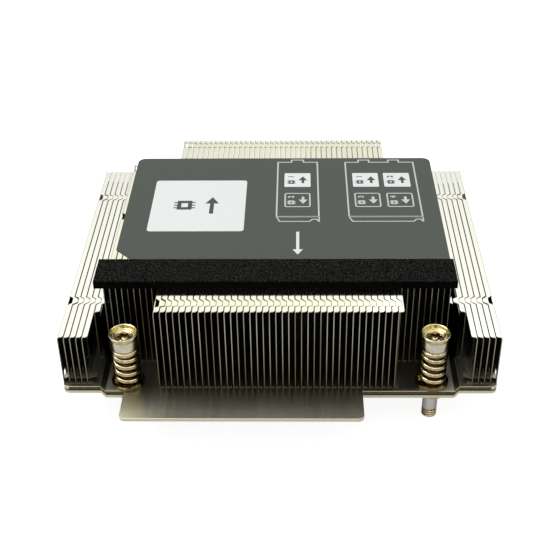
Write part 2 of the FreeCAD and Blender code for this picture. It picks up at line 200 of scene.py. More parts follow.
def slab(name, groups, bottom, thickness, smooth=False):
    """A flat piece: each group is a list of outlines, filled by the even-odd rule."""
    def place(u, v):
        return Vector((u, v, bottom + thickness / 2)), Vector((0, 0, 1))

    drawing = bmesh.new()
    for loops in groups:
        thicken(drawing, *fill(loops), place, thickness)
    return mesh_object(name, drawing, smooth)


def rounded(corners, radii, steps=6):
    """A closed outline whose corners are rounded; a radius of 0 keeps a corner sharp."""
    outline = []
    count = len(corners)
    for i, radius in zip(range(count), radii):
        here = Vector(corners[i])
        before = (Vector(corners[i - 1]) - here).normalized()
        after = (Vector(corners[(i + 1) % count]) - here).normalized()
        if radius == 0:
            outline.append(tuple(here))
            continue
        half = before.angle(after) / 2
        reach = radius / math.tan(half)
        centre = here + (before + after).normalized() * radius / math.sin(half)
        start, end = here + before * reach - centre, here + after * reach - centre
        sweep = start.angle_signed(end)
        for step in range(steps + 1):
            turn = Matrix.Rotation(-sweep * step / steps, 2)
            outline.append(tuple(centre + turn @ start))
    return outline


def rectangle(left, front, right, rear):
    return [(left, front), (right, front), (right, rear), (left, rear)]


print("helpers ready")

# %% [markdown]
# ## Finishes
#
# All finishes here are node trees on the Principled shader, read from Object coordinates, so
# nothing slides when a piece moves and the pattern has a real size. One helper adds a node and
# gives its inputs values or links. A few more make what the metals share: fine scratches along
# one direction, a slow drift of tone, and a little unevenness in the gloss.


# %% Node helpers
def set_inputs(tree, node, values):
    """Gives inputs of a node their values, or links them to the outputs that feed them."""
    for name, value in values.items():
        socket = node.inputs[name]
        if isinstance(value, bpy.types.NodeSocket):
            tree.links.new(value, socket)
        elif socket.type == "RGBA":
            socket.default_value = (*value, 1)
        else:
            socket.default_value = value


def add_node(tree, kind, inputs=None, **settings):
    """A new node with its settings and its inputs."""
    made = tree.nodes.new(kind)
    for name, value in settings.items():
        setattr(made, name, value)
    set_inputs(tree, made, inputs or {})
    return made


def new_finish(name, colour, metallic, roughness, specular=0.5):
    """A material with its tree and its shader."""
    material = bpy.data.materials.new(name)
    material.use_nodes = True
    material.diffuse_color = (*colour, 1)
    tree = material.node_tree
    shader = tree.nodes["Principled BSDF"]
    set_inputs(tree, shader, {"Base Color": colour, "Metallic": metallic,
                              "Roughness": roughness, "Specular IOR Level": specular})
    return material, tree, shader


def noise(tree, scale, stretch=(1, 1, 1), detail=3.0, distortion=0.0):
    """Noise on Object coordinates; scale is in patches per metre before the stretch."""
    where = add_node(tree, "ShaderNodeTexCoord").outputs["Object"]
    mapping = add_node(tree, "ShaderNodeMapping", {"Vector": where, "Scale": stretch})
    texture = add_node(tree, "ShaderNodeTexNoise", {
        "Vector": mapping.outputs["Vector"], "Scale": scale, "Detail": detail,
        "Distortion": distortion})
    return texture.outputs["Fac"]


def ramp(tree, source, stops):
    """A colour ramp; stops are (position, colour)."""
    made = add_node(tree, "ShaderNodeValToRGB", {"Fac": source})
    elements = made.color_ramp.elements
    for element, (position, colour) in zip(elements, (stops[0], stops[-1])):
        element.position, element.color = position, (*colour, 1)
    for position, colour in stops[1:-1]:
        elements.new(position).color = (*colour, 1)
    return made.outputs["Color"]


def climb(tree, source, start, end, low=0.0, high=1.0, **settings):
    """Goes evenly from low at start to high at end, and is level outside."""
    ends = {"From Min": start, "From Max": end, "To Min": low, "To Max": high}
    made = add_node(tree, "ShaderNodeMapRange", {"Value": source, **ends}, **settings)
    return made.outputs["Result"]


NOISE_RANGE = (0.3, 0.7)


def spread(tree, source, low, high):
    """Maps noise, which keeps near its middle, to a range of values."""
    return climb(tree, source, *NOISE_RANGE, low, high)


def tint(colour, factor):
    return tuple(min(1.0, part * factor) for part in colour)


def toned(tree, source, colour, share):
    """A colour that noise makes darker and brighter by a share."""
    shades = (tint(colour, 1 - share), tint(colour, 1 + share))
    return ramp(tree, source, list(zip(NOISE_RANGE, shades)))


def bump(tree, shader, source, strength, depth):
    made = add_node(tree, "ShaderNodeBump",
                    {"Strength": strength, "Distance": depth, "Height": source})
    set_inputs(tree, shader, {"Normal": made.outputs["Normal"]})


def along(tree, coordinate, axis):
    """One part of the surface normal or of the place in the object."""
    where = add_node(tree, "ShaderNodeTexCoord").outputs[coordinate]
    return add_node(tree, "ShaderNodeSeparateXYZ", {0: where}).outputs[axis]


def math_node(tree, operation, *values):
    """One sum of outputs or numbers."""
    return add_node(tree, "ShaderNodeMath", dict(enumerate(values)), operation=operation).outputs[0]


def larger(tree, *values):
    """The largest of two or more outputs or numbers."""
    result = values[0]
    for value in values[1:]:
        result = math_node(tree, "MAXIMUM", result, value)
    return result


def facing(tree, axis, start=0.7, end=0.95):
    """1 where a surface faces along an axis, either way, and 0 elsewhere."""
    return climb(tree, math_node(tree, "ABSOLUTE", along(tree, "Normal", axis)), start, end)


def mixed(tree, factor, first, second):
    """Goes from the first colour to the second; each is a colour or an output."""
    made = add_node(tree, "ShaderNodeMix", {0: factor, 6: first, 7: second}, data_type="RGBA")
    return made.outputs[2]


print("node helpers ready")

# %% [markdown]
# The fins are bright rolled aluminium with a warm, creamy tone. Rolling leaves faint streaks
# along the sheet, so the scratch noise is stretched along Y, the direction the fins run in. The
# tops are so glossy that the foam is mirrored in them. The webs, feet and flange undersides inside
# the stacks get a painted shade, a much darker colour where shade falls between the fins, while
# the webs that look out of the object are as bright as the tops and rougher. The sheared front and
# rear edges are dull and differ from fin to fin. They get browner towards the foot, and the
# recessed ones of the bay fins get a painted shade too. The surface normal and the place tell the
# shader which is which.
#
# The base sheets are plated and greyer, satin on their faces, and creamy on their edges. Behind
# the tongue their faces get a painted shade, a much darker colour where the fins and screws shade
# the plate, so the tongue in front stays brighter. The slopes of the side portions face sideways
# only in part, so they count as faces.


# %% Metals for the fins and the base
def brushed_metal(name, colour, roughness, edge_colour):
    """Metal brushed along Y, with a slow drift of tone, a painted shade behind the tongue, and
    brighter, rougher edges.
    """
    material, tree, shader = new_finish(name, colour, 1.0, roughness)
    front = toned(tree, noise(tree, 60), colour, 0.06)
    # Painted shade: behind the tongue the colour falls to 0.42 of itself, where fins and screws
    # shade the plate.
    painted_shade_behind_tongue = climb(tree, along(tree, "Object", "Y"), -0.052, -0.042)
    face = mixed(tree, painted_shade_behind_tongue, front, tint(colour, 0.42))
    upright = larger(tree, facing(tree, "X", 0.85, 0.97), facing(tree, "Y", 0.2, 0.45))
    streaks = noise(tree, 2500, stretch=(1, 0.01, 1))
    gloss = spread(tree, streaks, roughness - 0.02, roughness + 0.03)
    set_inputs(tree, shader, {
        "Base Color": mixed(tree, upright, face, edge_colour),
        "Roughness": math_node(tree, "MULTIPLY_ADD", upright, 0.3, gloss)})
    bump(tree, shader, streaks, 0.1, 0.00001)
    return material


def outer_web(tree, height):
    """1 on webs that look out of the object: the outermost ones, and the tall ones above them."""
    outward = math_node(tree, "MULTIPLY", along(tree, "Normal", "X"), along(tree, "Object", "X"))
    tall = math_node(tree, "MULTIPLY", climb(tree, outward, 0.0430, 0.0436),
                     climb(tree, height, 0.0150, 0.0152))
    return larger(tree, tall, climb(tree, outward, 0.0545, 0.0550))


def sheared_edge(tree, height):
    """The colour of the cut ends: by fin, with a painted shade where recessed, browner towards the
    foot.
    """
    dull, bright, brown = (0.36, 0.32, 0.22), (0.84, 0.82, 0.70), (0.26, 0.21, 0.11)
    by_fin = noise(tree, 900, stretch=(1, 0.02, 0.02), detail=1)
    colour = ramp(tree, by_fin, [(0.38, dull), (0.62, bright)])
    from_middle = math_node(tree, "ABSOLUTE", along(tree, "Object", "Y"))
    # Painted shade: Y-facing edges within 36 mm of the middle, the recessed ends of the bay and
    # step fins, fall to 0.45 of their colour.
    painted_recess_shade = climb(tree, from_middle, 0.036, 0.040, 0.45, 1.0)
    colour = mixed(tree, painted_recess_shade, (0.0, 0.0, 0.0), colour)
    return mixed(tree, climb(tree, height, 0.006, 0.024), brown, colour)


def rolled_fin_metal():
    """Glossy tops, a painted shade on the webs inside, bright ones outside, and dull sheared edges.
    """
    # The dark colour below is a painted shade for the webs, feet and flange undersides inside the
    # stacks, where shade falls between the fins.
    colour, painted_gap_shade, low_colour = (0.90, 0.89, 0.70), (0.28, 0.275, 0.235), (0.92, 0.92, 0.81)
    material, tree, shader = new_finish("fin aluminium", colour, 1.0, 0.1)
    height = along(tree, "Object", "Z")
    edges = facing(tree, "Y")
    upward = climb(tree, along(tree, "Normal", "Z"), 0.3, 0.6)
    tops = math_node(tree, "MULTIPLY", upward, climb(tree, height, 0.012, 0.016))
    bent_out = math_node(tree, "MULTIPLY", upward, climb(tree, height, 0.0083, 0.0087, 0.0, 0.35))
    outside = outer_web(tree, height)
    by_height = mixed(tree, climb(tree, height, 0.024, 0.026), low_colour,
                      toned(tree, noise(tree, 60), colour, 0.04))
    bright = larger(tree, outside, larger(tree, tops, bent_out))
    sheet = mixed(tree, bright, painted_gap_shade, by_height)
    streaks = noise(tree, 5000, stretch=(1, 0.03, 1), detail=5)
    level_inside = math_node(tree, "SUBTRACT", facing(tree, "Z"), tops)
    dull = larger(tree, edges, level_inside, outside)
    set_inputs(tree, shader, {
        "Base Color": mixed(tree, edges, sheet, sheared_edge(tree, height)),
        "Roughness": math_node(tree, "MULTIPLY_ADD", dull, 0.35,
                               spread(tree, streaks, 0.07, 0.14))})
    bump(tree, shader, streaks, 0.05, 0.00001)
    return material


fin_metal = rolled_fin_metal()
base_metal = brushed_metal("plated base", (0.66, 0.66, 0.54), 0.32, (0.96, 0.90, 0.70))
print("made", fin_metal.name, "and", base_metal.name)

# %% [markdown]
# The captive screws are steel with a thin golden plating. The collar below the rim is a paler,
# more even surface, and the threaded end is the yellow of bare brass. Springs and washers share
# the golden plating; on the washers it is much darker, a painted shade under the springs. The pale
# finish also paints highlights on the screw heads, and a dark one paints shade in their recesses
# and grooves.


# %% Metals for the screws and springs
def plated_metal(name, colour, shade, roughness):
    """Turned and plated metal: patches of a second shade, and fine grain in the gloss."""
    material, tree, shader = new_finish(name, colour, 1.0, roughness)
    patches = noise(tree, 900, detail=4, distortion=0.4)
    grain = noise(tree, 9000, detail=2)
    set_inputs(tree, shader, {
        "Base Color": ramp(tree, patches, [(0.35, shade), (0.62, colour)]),
        "Roughness": spread(tree, grain, roughness - 0.06, roughness + 0.08)})
    bump(tree, shader, grain, 0.2, 0.00001)
    return material


screw_gold = plated_metal("gold plating", (0.84, 0.74, 0.40), (0.58, 0.47, 0.18), 0.13)
# A pale plating for the collar, which also paints highlights on the rim's top edge and the bowl's
# floor.
pale_plating_and_highlight = plated_metal("pale plating and painted highlight", (0.96, 0.91, 0.77), (0.82, 0.75, 0.56), 0.22)
shank_pale = plated_metal("pale shank", (1.0, 0.96, 0.90), (0.94, 0.90, 0.83), 0.3)
thread_brass = plated_metal("thread brass", (0.98, 0.80, 0.52), (0.82, 0.62, 0.34), 0.3)
# A dark plating that paints shade in the recess, in the thread's grooves, under the head and on the
# shank inside the spring.
shade_plating = plated_metal("painted shade plating", (0.24, 0.16, 0.07), (0.10, 0.065, 0.025), 0.2)
spring_metal = plated_metal("spring wire", (0.86, 0.75, 0.50), (0.58, 0.44, 0.22), 0.1)
# Painted shade: the washers' plating is much darker, as they lie in shade under the springs.
washer_shaded_plating = plated_metal("washer plating with painted shade", (0.32, 0.25, 0.11), (0.14, 0.10, 0.04), 0.08)
block_metal = brushed_metal("plated contact block", (0.70, 0.66, 0.56), 0.22, (0.72, 0.68, 0.56))
print("made", screw_gold.name, "and seven more")

# %% [markdown]
# The foam is closed-cell rubber: nearly black, quite matt and speckled by its cells on top. Its
# cut front and rear get a painted shade, an even darker colour, as light falls from above. The
# label is a printed film with a soft sheen; its grey is a dark warm green. White ink, the pale ink
# of the lines and the grey ink on the white panel are plain films too, and so is the dark brown
# painted shade in the seam between the base sheets.


# %% Foam, label and inks
def cell_foam():
    # The first colour is the top skin; the second, for the front and rear faces, is a painted
    # shade, as light falls from above.
    skin, cut = (0.006, 0.006, 0.005), (0.0012, 0.0012, 0.001)
    hollow, wall, speck = (0.0005, 0.0005, 0.0005), (0.0045, 0.0045, 0.004), (0.048, 0.046, 0.042)
    material, tree, shader = new_finish("cut foam", skin, 0.0, 0.9, 0.06)
    cells = noise(tree, 3000)
    speckled = ramp(tree, cells, [(0.40, hollow), (0.53, wall), (0.64, speck)])
    set_inputs(tree, shader, {"Base Color": mixed(tree, facing(tree, "Y"), speckled, cut)})
    bump(tree, shader, cells, 0.9, 0.0002)
    return material


def film(name, colour, roughness, drift=0.05):
    """Printed film: an even colour with a faint mottle, and a fine orange peel."""
    material, tree, shader = new_finish(name, colour, 0.0, roughness, 0.45)
    mottle = noise(tree, 1500)
    set_inputs(tree, shader, {
        "Base Color": toned(tree, mottle, colour, drift),
        "Roughness": spread(tree, mottle, roughness - 0.05, roughness + 0.05)})
    bump(tree, shader, noise(tree, 2500, detail=1), 0.15, 0.00002)
    return material


foam_finish = cell_foam()
# A dark brown painted shade for the groove between the base sheets and its rounded lips.
seam_shade = film("seam painted shade", (0.12, 0.09, 0.045), 0.6, drift=0.5)
label_finish = film("label film", (0.055, 0.065, 0.053), 0.42)
white_ink = film("white ink", (0.88, 0.91, 0.90), 0.45, drift=0.01)
line_ink = film("pale line ink", (0.66, 0.68, 0.66), 0.42)
dark_ink = film("dark ink", (0.05, 0.057, 0.05), 0.42)
print("made", foam_finish.name, "and five films")

# %% [markdown]
# ## A folded fin
#
# A real fin is one strip of sheet, stamped flat and then folded: a foot at the bottom, a tall
# web, and a flange on top that reaches to the next fin. Tabs on the flange hook through notches
# in the next fin's top fold, so the stack locks like a zip. Drawing the flat pattern first and
# folding it in code keeps the bends, notches and tabs in one closed sheet, as the press does.
# The pattern's u runs along the strip's section and its v along the fin.

# %% The section that a strip is folded to
SHEET = 0.2
BEND = 0.15
QUARTER = BEND * math.pi / 2
BEND_STEPS = 3


class Section:
    """Where a point of the flat strip goes: foot, bend, web, bend, flange."""

    def __init__(self, height, foot, hand):
        self.height, self.foot, self.hand = height, foot, hand
        self.edge = SHEET / 2 + BEND
        self.bend_1 = foot - self.edge
        self.web = self.bend_1 + QUARTER
        self.bend_2 = self.web + height - 2 * self.edge
        self.flange = self.bend_2 + QUARTER

    def at_height(self, z):
        return self.web + z - self.edge

    def at_flange(self, x):
        return self.flange + x - self.edge

    def creases(self):
        """The strip positions where the fold has to have corners."""
        lines = []
        for start in (self.bend_1, self.bend_2):
            lines += [start + QUARTER * step / BEND_STEPS for step in range(BEND_STEPS + 1)]
        return lines

    def place(self, u, v):
        edge, top = self.edge, self.height - self.edge
        if u <= self.bend_1:
            spot, out = (self.foot - u, SHEET / 2), (0, -1)
        elif u <= self.web:
            turn = (u - self.bend_1) / BEND
            out = (-math.sin(turn), -math.cos(turn))
            spot = (edge + BEND * out[0], edge + BEND * out[1])
        elif u <= self.bend_2:
            spot, out = (SHEET / 2, edge + u - self.web), (-1, 0)
        elif u <= self.flange:
            turn = (u - self.bend_2) / BEND
            out = (-math.cos(turn), math.sin(turn))
            spot = (edge + BEND * out[0], top + BEND * out[1])
        else:
            spot, out = (edge + u - self.flange, self.height - SHEET / 2), (0, 1)
        return (Vector((self.hand * spot[0], v, spot[1])),
                Vector((self.hand * out[0], 0, out[1])))


print("a bend takes", round(QUARTER, 2), "mm of the strip")

# %% [markdown]
# The pattern itself: the foot and the flange are full length but for rounded corners, and each
# lock row adds a tab at the flange's free edge and a notch at the top fold. On the tall fins the
# notch goes down into the web a little. It shows as a dark opening on the first fin of each
# stack, where no tab fills it. On the first two fins of most stacks it is cut a little wider.

# %% Draw the pattern and fold it
LOCK_REACH, LOCK_GAP, LOCK_SIDE, LOCK_ROOM = 1.1, 0.12, 0.07, 0.28
TIP_SLANT, TIP_CORNER, NOTCH_FOLD = 0.15, 0.2, 0.2
LOW_LOCK = (3.1, 0.80, 0.80, -0.02)
TALL_LOCK = (2.9, 1.20, 0.60, 0.30)
OPEN_NOTCH, NO_TABS = {"widen": 0.25}, {"tabs": False}
CORNER, FLANGE_CORNER, FOOT_CORNER = 0.6, 0.4, 0.25
SHOULDER_DROP, SHOULDER_END = 1.0, 0.45
TAB_REACH, TAB_ROOT, TAB_TIP, TAB_CORNER = 2.2, 1.25, 0.65, 0.2
TAB_OPENING, TAB_HEIGHT, TAB_SLOPE = (1.15, 3.2), 0.95, 0.2
NEARLY_FLAT = 0.002


def arc(u0, v0, u1, v1, steps=4):
    """A quarter of an ellipse from one corner to the other, leaving along v first."""
    points = []
    for step in range(steps + 1):
        turn = math.pi / 2 * step / steps
        points.append((u0 + (u1 - u0) * math.sin(turn), v0 + (v1 - v0) * (1 - math.cos(turn))))
    return points


def fin_pattern(section, length, pitch, rows, lock, tabs, low_row, widen):
    """Outline and holes of one flat strip; a lock is its root, how far its tip reaches to the
    front and to the rear, and how far its notch goes down into the web."""
    root, front_tip, rear_tip, into_web = lock
    free = section.at_flange(pitch - LOCK_GAP)
    shoulder = section.at_height(section.height - SHOULDER_DROP)
    near = section.at_flange(SHOULDER_END)
    right = [(free - FLANGE_CORNER, CORNER), (free, CORNER + FLANGE_CORNER)]
    if tabs:
        tip = section.at_flange(pitch + LOCK_REACH)
        for row in rows:
            right += [(free, row - root / 2), (tip - TIP_SLANT, row - front_tip),
                      (tip, row - front_tip + TIP_CORNER), (tip, row + rear_tip - TIP_CORNER),
                      (tip - TIP_SLANT, row + rear_tip), (free, row + root / 2)]
    right += [(free, length - CORNER - FLANGE_CORNER), (free - FLANGE_CORNER, length - CORNER)]
    front = [(FOOT_CORNER, 0), (shoulder, 0)] + arc(shoulder, 0, near, CORNER)[1:]
    back = [(u, length - v) for u, v in reversed(front)]
    outline = front + right + back + [(0, length - FOOT_CORNER), (0, FOOT_CORNER)]
    holes = []
    side = root / 2 + LOCK_ROOM + widen
    tip_side = LOCK_SIDE + widen
    start = section.bend_2 - into_web
    fold = section.at_flange(NOTCH_FOLD)
    end = section.at_flange(LOCK_REACH + LOCK_GAP + widen / 4)
    for row in rows:
        holes.append([(start, row - side), (fold, row - side),
                      (end, row - front_tip - tip_side), (end, row + rear_tip + tip_side),
                      (fold, row + side), (start, row + side)])
    if low_row:
        low, high = (section.at_height(z) for z in TAB_OPENING)
        holes.append([(low, low_row - TAB_ROOT), (high, low_row - TAB_TIP),
                      (high, low_row + TAB_TIP), (low, low_row + TAB_ROOT)])
    return outline, holes


def low_tab(drawing, section, row):
    """The tab bent out of the web's opening, rising a little to pass over the next one."""
    def place(u, v):
        height = TAB_HEIGHT + TAB_SLOPE * (u - SHEET)
        return Vector((section.hand * u, v, height)), Vector((0, 0, 1))

    tip = SHEET + TAB_REACH
    half = [(SHEET / 2, TAB_ROOT), (tip - TAB_CORNER, TAB_TIP), (tip, TAB_TIP - TAB_CORNER)]
    outline = [(u, row - v) for u, v in half] + [(u, row + v) for u, v in reversed(half)]
    thicken(drawing, *fill([outline]), place, SHEET)


def folded_fin(name, node, pitch, rows, lock, tabs=True, low_row=None, hand=1, widen=0.0):
    """One fin as a mesh object in metres, its web's outer face at x 0 and its front at y 0."""
    low, high = box_mm(node)
    length = high.y - low.y
    section = Section(high.z - low.z, pitch - SHEET, hand)
    rows = [row - low.y for row in rows]
    low_row = low_row and low_row - low.y
    outline, holes = fin_pattern(section, length, pitch, rows, lock, tabs, low_row, widen)
    creases = [((u, -1), (u, length + 1)) for u in section.creases()]
    drawing = bmesh.new()
    thicken(drawing, *fill([outline] + holes, creases), section.place, SHEET)
    if low_row:
        low_tab(drawing, section, low_row)
    bmesh.ops.dissolve_limit(drawing, angle_limit=NEARLY_FLAT, verts=drawing.verts,
                             edges=drawing.edges)
    return mesh_object(name, drawing, smooth=False)


SIDE_PITCH, CORE_PITCH = 1.5625, 1.616
SIDE_ROWS = [-26.4, 27.45]
trial = folded_fin("trial fin", "left_step_fin_1", SIDE_PITCH, SIDE_ROWS, LOW_LOCK)
print("one folded fin has", len(trial.data.polygons), "faces")
bpy.data.objects.remove(trial)

# %% [markdown]
# ## Stacks of fins with Geometry Nodes
#
# The fins repeat at an even pitch, which is a rule that Geometry Nodes states well: a line of
# points, one fin on each, and a different last fin, because it has nothing to hook into. The
# first two fins may differ too, so the tree takes three fins. The tree ends by realising its
# instances and setting the finish, so that the stack comes out as real geometry. A stack of two
# gets its second fin twice, as a first fin and as the last one, which is a known fault.


# %% Helpers for Geometry Nodes
def new_tree(name, inputs):
    """A tree with named inputs, their identifiers, and the outputs that they have inside."""
    tree = bpy.data.node_groups.new(name, "GeometryNodeTree")
    sockets = {}
    for label, kind in inputs.items():
        socket = tree.interface.new_socket(label, in_out="INPUT", socket_type=f"NodeSocket{kind}")
        sockets[label] = socket.identifier
    tree.interface.new_socket("Geometry", in_out="OUTPUT", socket_type="NodeSocketGeometry")
    return tree, sockets, add_node(tree, "NodeGroupInput").outputs


def end_tree(tree, geometry, finish):
    """Turns instances into real geometry, sets its finish and leads it out of the tree."""
    real = add_node(tree, "GeometryNodeRealizeInstances", {"Geometry": geometry})
    painted = add_node(tree, "GeometryNodeSetMaterial",
                       {"Geometry": real.outputs["Geometry"], "Material": finish})
    add_node(tree, "NodeGroupOutput", {"Geometry": painted.outputs["Geometry"]})


def grown(name, tree, sockets, values):
    """A plain mesh object from a Geometry Nodes tree, with the modifier gone."""
    carrier = in_scene(name, bpy.data.meshes.new(name + " seed"))
    modifier = carrier.modifiers.new("grow", "NODES")
    modifier.node_group = tree
    for label, value in values.items():
        modifier[sockets[label]] = value
    carrier.data = as_seen(carrier)
    carrier.modifiers.remove(modifier)
    carrier.data.name = name
    return carrier


# %% Build the stacking tree
HALF = 0.5


def stacking_tree():
    tree, sockets, given = new_tree("Stack of fins", {
        "First fin": "Object", "Middle fin": "Object", "Last fin": "Object", "Count": "Int",
        "Start": "Vector", "Pitch": "Float", "Finish": "Material"})
    step = add_node(tree, "ShaderNodeCombineXYZ", {"X": given["Pitch"]})
    line = add_node(tree, "GeometryNodeMeshLine", {
        "Count": given["Count"], "Start Location": given["Start"], "Offset": step.outputs[0]})
    index = add_node(tree, "GeometryNodeInputIndex").outputs[0]
    # Points 0 and 1 are both within HALF of HALF, and the last one is within HALF of count - 1.
    first = math_node(tree, "COMPARE", index, HALF, HALF)
    final = math_node(tree, "SUBTRACT", given["Count"], 1)
    last = math_node(tree, "COMPARE", index, final, HALF)
    between = math_node(tree, "LESS_THAN", math_node(tree, "ADD", first, last), HALF)
    join = add_node(tree, "GeometryNodeJoinGeometry")
    for label, chosen in (("First fin", first), ("Last fin", last), ("Middle fin", between)):
        fin = add_node(tree, "GeometryNodeObjectInfo", {"Object": given[label]},
                       transform_space="ORIGINAL")
        put = add_node(tree, "GeometryNodeInstanceOnPoints", {
            "Points": line.outputs["Mesh"], "Selection": chosen,
            "Instance": fin.outputs["Geometry"]})
        tree.links.new(put.outputs["Instances"], join.inputs["Geometry"])
    end_tree(tree, join.outputs["Geometry"], given["Finish"])
    return tree, sockets


fin_tree, fin_sockets = stacking_tree()
print("the stacking tree has", len(fin_tree.nodes), "nodes")


# %% Make a stack
def fin_stack(name, nodes, count, pitch, rows, lock, first=OPEN_NOTCH, last=NO_TABS, hand=1,
              low_row=None):
    """A stack from its solids, whose first name is the fin at the start of the line."""
    fins = {}
    for label, changes in (("First fin", first), ("Middle fin", {}), ("Last fin", last)):
        fins[label] = folded_fin(label, nodes[0], pitch, rows, lock, low_row=low_row, hand=hand,
                                 **changes)
    corner_low, corner_high = box_mm(nodes[0])
    web = corner_low.x if hand > 0 else corner_high.x
    stack = grown(name, fin_tree, fin_sockets, {
        **fins, "Count": count, "Start": [web * MM, corner_low.y * MM, corner_low.z * MM],
        "Pitch": hand * pitch * MM, "Finish": fin_metal,
    })
    for source in fins.values():
        bpy.data.objects.remove(source)
    settle(stack, "root", "fins", [fin_metal], *nodes)


# %% [markdown]
# The heatsink has seven stacks: on each side five low outer fins and two step fins that start
# further back, nine tall bay fins, and 39 longer ones in the centre. The low fins of the right
# side mirror those of the left, while all the tall ones fold the same way. Tabs bent out of the
# webs near the front of the outer fins pass through the next fin's opening, and the fifth fin's
# tab stands free beside the screw.

# %% Make the seven stacks
BAY_ROWS, CORE_ROWS = [3.6, 31.4], [-38.2, 46.6]
LOW_ROW = -40.65
OUTER, STEP, BAY, CORE = 5, 2, 9, 39

for side, hand in (("left", 1), ("right", -1)):
    outer, step, bay = ([f"{side}_{kind}_fin_{n + 1}" for n in range(count)]
                        for kind, count in (("outer", OUTER), ("step", STEP), ("bay", BAY)))
    fin_stack(f"{side}_outer_stack", outer, OUTER, SIDE_PITCH, SIDE_ROWS, LOW_LOCK, last={},
              hand=hand, low_row=LOW_ROW)
    fin_stack(f"{side}_step_stack", step, STEP, SIDE_PITCH, SIDE_ROWS, LOW_LOCK, first={},
              hand=hand)
    fin_stack(f"{side}_bay_stack", bay, BAY, SIDE_PITCH, BAY_ROWS, TALL_LOCK)
fin_stack("centre_stack", ["centre_fins"], CORE, CORE_PITCH, CORE_ROWS, TALL_LOCK)

# %% [markdown]
# ## Base sheets and contact block
#
# The base is two sheets soldered face to face, both stepped up at the sides. Stamping leaves
# their edges slightly rounded, and it is that rounded edge that catches the light. The solids
# already have the right outline, so each is copied, its loose triangles are merged, and its
# sharp edges get a narrow bevel.


# %% Copy a solid and round its edges
EASE, MERGE, SAME_PLANE = 0.3, 1e-6, 0.01
SEAMS = ((4.90, 5.42), (6.46, 6.98))
SHEETS_FRONT, SHEETS_REAR = -44.1, 45.6


def in_seam(middle):
    """Whether a face's middle, in metres, lies in the groove between the two sheets."""
    _, y, z = middle / MM
    return SHEETS_FRONT < y < SHEETS_REAR and any(low < z < high for low, high in SEAMS)


def eased_copy(name, node):
    """A solid's mesh without its loose triangles, and with its sharp edges rounded."""
    drawing = bmesh.new()
    drawing.from_mesh(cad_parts[node].data)
    bmesh.ops.remove_doubles(drawing, verts=drawing.verts, dist=MERGE)
    bmesh.ops.scale(drawing, vec=(1 / MM,) * 3, verts=drawing.verts)
    bmesh.ops.dissolve_limit(drawing, angle_limit=SAME_PLANE, verts=drawing.verts,
                             edges=drawing.edges)
    piece = mesh_object(name, drawing)
    bevel(piece, "eased edges", EASE, 3, 40)
    piece.data = as_seen(piece)
    piece.modifiers.clear()
    return piece


def darken_seam(piece):
    """The groove between the sheets, and its rounded lips, get the second finish, a painted shade.
    """
    drawing = bmesh.new()
    drawing.from_mesh(piece.data)
    for cut in (SHEETS_FRONT, SHEETS_REAR):
        everything = drawing.verts[:] + drawing.edges[:] + drawing.faces[:]
        bmesh.ops.bisect_plane(drawing, geom=everything, plane_co=(0, cut * MM, 0),
                               plane_no=(0, 1, 0))
    for face in drawing.faces:
        face.material_index = 1 if in_seam(face.calc_center_median()) else 0
    drawing.to_mesh(piece.data)
    drawing.free()


for name, node in (("lower_sheet", "lower_base_sheet"), ("upper_sheet", "upper_base_sheet")):
    sheet = eased_copy(name, node)
    settle(sheet, "root", "base", [base_metal, seam_shade], node)
    darken_seam(sheet)
block = eased_copy("contact_plate", "contact_block")
settle(block, "root", "base", [block_metal], "contact_block")

# %% [markdown]
# ## Foam strip
#
# A strip of black foam lies across the tall fins and seals the gap to the server's lid. It is
# cut from a sheet, so its faces are flat and its edges square, and only its skin is uneven.
# A grid with softly pushed points gives the cut edges their small waves, and the finish adds
# the cells. The noise gets a fixed seed, so the waves are the same on every run.


# %% Make the foam strip
from mathutils import noise as field

FOAM_CELL, FOAM_EASE, NOISE_SEED, AT_BOTTOM = 0.8, 0.18, 7, 0.01
WAVES = ((0.35, 0.05), (1.7, 0.03))
foam_low, foam_high = box_mm("foam_strip")
drawing = bmesh.new()
size = foam_high - foam_low
cells = [max(2, round(part / FOAM_CELL)) for part in size]
corners = {}


def foam_point(i, j, k):
    """One point of the strip's surface grid, shared by the faces that meet there."""
    if (i, j, k) not in corners:
        spot = Vector((foam_low.x + size.x * i / cells[0], foam_low.y + size.y * j / cells[1],
                       foam_low.z + size.z * k / cells[2]))
        corners[i, j, k] = drawing.verts.new(spot)
    return corners[i, j, k]


for axis, (a, b) in enumerate(((1, 2), (0, 2), (0, 1))):
    for end in (0, cells[axis]):
        for i in range(cells[a]):
            for j in range(cells[b]):
                ring = []
                for di, dj in ((0, 0), (1, 0), (1, 1), (0, 1)):
                    key = [0, 0, 0]
                    key[axis], key[a], key[b] = end, i + di, j + dj
                    ring.append(foam_point(*key))
                drawing.faces.new(ring)
field.seed_set(NOISE_SEED)
for point in drawing.verts:
    push = sum((field.noise_vector(point.co * often) * far for often, far in WAVES), Vector())
    if point.co.z < foam_low.z + AT_BOTTOM:
        push.z = 0
    point.co += push
foam = mesh_object("foam_pad", drawing)
bevel(foam, "cut edges", FOAM_EASE, 2, 50)
settle(foam, "root", "foam", [foam_finish], "foam_strip")

# %% [markdown]
# ## Label
#
# The label covers the tall fins behind the foam. Its film is a thin sheet with three rounded
# corners and one cut one. The print has a panel, outlines of two trays with their sockets,
# arrows, and plain numbers, in white, pale grey and dark grey. Each ink is a very thin raised
# layer, drawn with the same region helper, so that its edges stay crisp from any distance.

